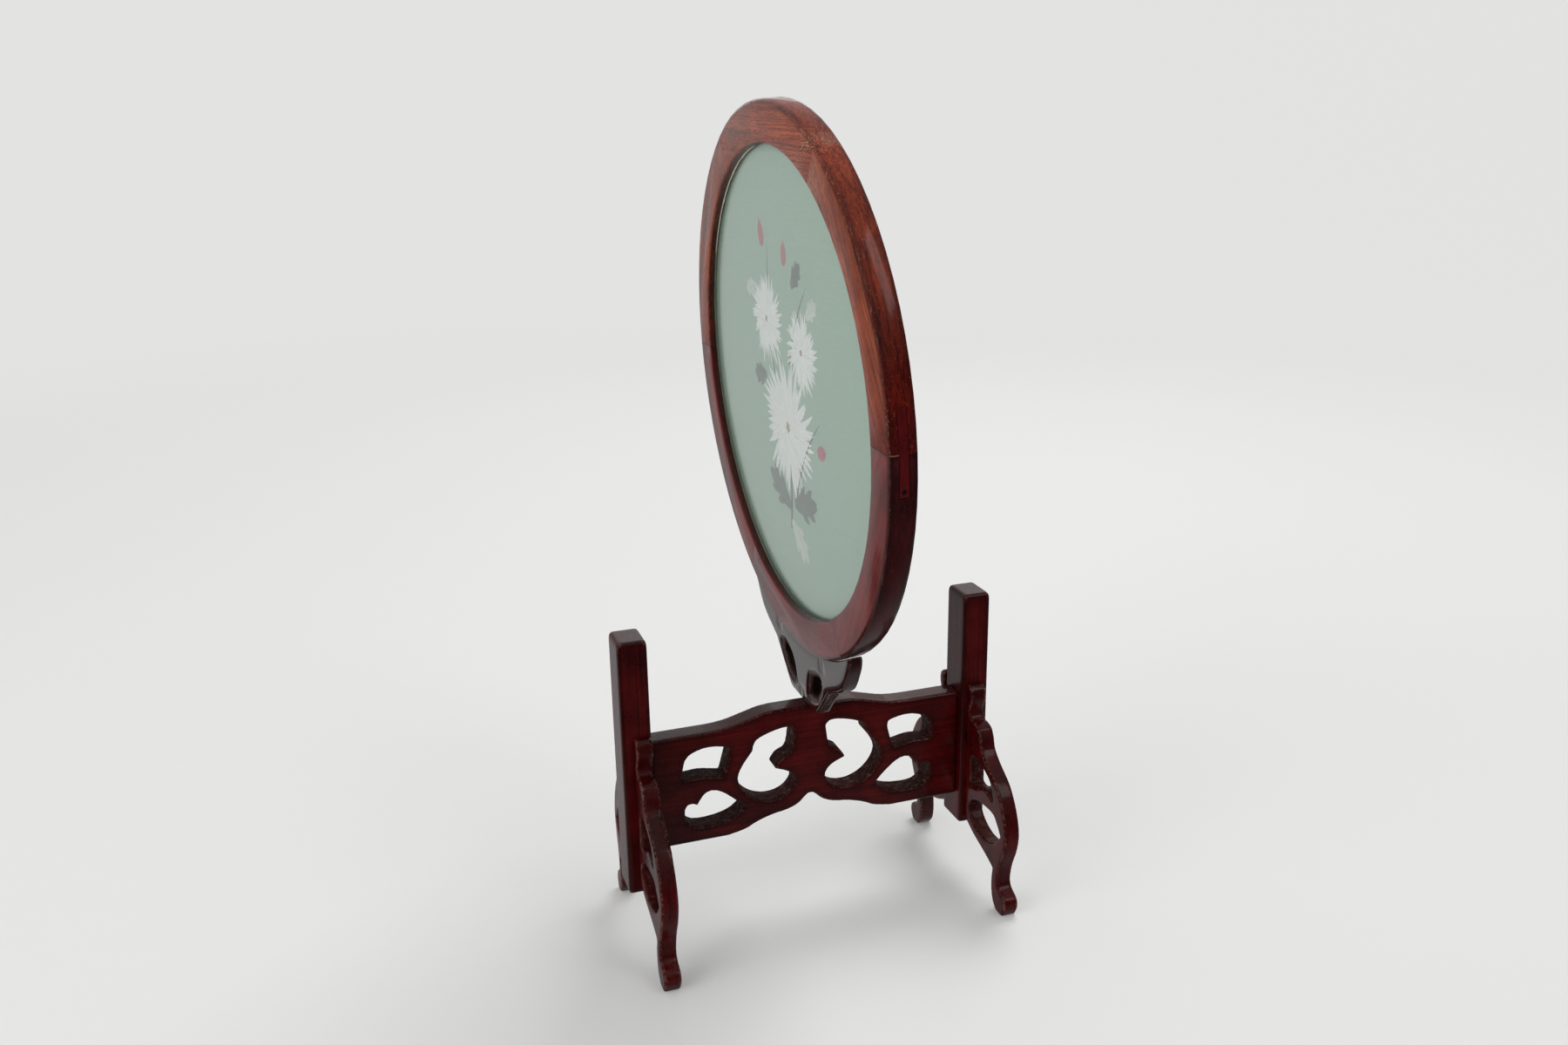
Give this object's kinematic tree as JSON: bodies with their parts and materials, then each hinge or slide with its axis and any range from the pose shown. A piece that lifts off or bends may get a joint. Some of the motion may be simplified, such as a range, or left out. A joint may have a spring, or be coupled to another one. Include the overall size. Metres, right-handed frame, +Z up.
{
  "type": "double-sided silk screen",
  "caption": "Round silk picture between two panes in a jointed hardwood ring that turns on a carved four-legged table stand.",
  "frame": {"origin": "on the floor, midway between the posts and, front to back, under the ring's centre", "axes": "+Z up, +X along the rail from the left post to the right post, +Y from the front legs to the rear legs"},
  "size_m": [0.1362, 0.18, 0.2828],
  "materials": {
    "stand_lacquer": "glossy dark red lacquer over carved hardwood",
    "ring_wood": "polished red-brown hardwood with open grain",
    "dark_wood": "polished near-black hardwood",
    "dowel_wood": "bare hardwood dowel",
    "nail_iron": "dull small nail",
    "silk": "fine sage satin silk",
    "card": "thin pale card",
    "glass": "clear thin window glass"
  },
  "bodies": {
    "stand": {"rail": "stand_lacquer", "post_left": "stand_lacquer", "post_right": "stand_lacquer", "leg_front_left": "stand_lacquer", "leg_rear_left": "stand_lacquer", "leg_front_right": "stand_lacquer", "leg_rear_right": "stand_lacquer", "leg_dowel_front_left_lower": "dowel_wood", "leg_dowel_front_left_upper": "dowel_wood", "leg_dowel_rear_left_lower": "dowel_wood", "leg_dowel_rear_left_upper": "dowel_wood", "leg_dowel_front_right_lower": "dowel_wood", "leg_dowel_front_right_upper": "dowel_wood", "leg_dowel_rear_right_lower": "dowel_wood", "leg_dowel_rear_right_upper": "dowel_wood"},
    "screen": {"ring_near_upper": "ring_wood", "ring_top": "ring_wood", "ring_far_upper": "ring_wood", "ring_far_lower": "ring_wood", "ring_bottom": "ring_wood", "ring_near_lower": "ring_wood", "spline_near": "dark_wood", "spline_far": "dark_wood", "spline_nail_near": "nail_iron", "spline_nail_far": "nail_iron", "ring_dowel_1": "dowel_wood", "ring_dowel_2": "dowel_wood", "ring_dowel_4": "dowel_wood", "ring_dowel_5": "dowel_wood", "silk_panel": "silk", "spacer_front": "card", "spacer_rear": "card", "pane_front": "glass", "pane_rear": "glass", "cradle": "dark_wood", "cradle_dowel_far": "dowel_wood", "cradle_dowel_near": "dowel_wood", "pivot_pin": "dark_wood"}
  },
  "joints": [
    {"name": "screen_turn", "type": "hinge", "parent": "stand", "child": "screen", "pos_m": [0.0012, 0.0024, 0.0786], "axis": [-0.0593, -0.0209, 0.998], "continuous": true}
  ]
}
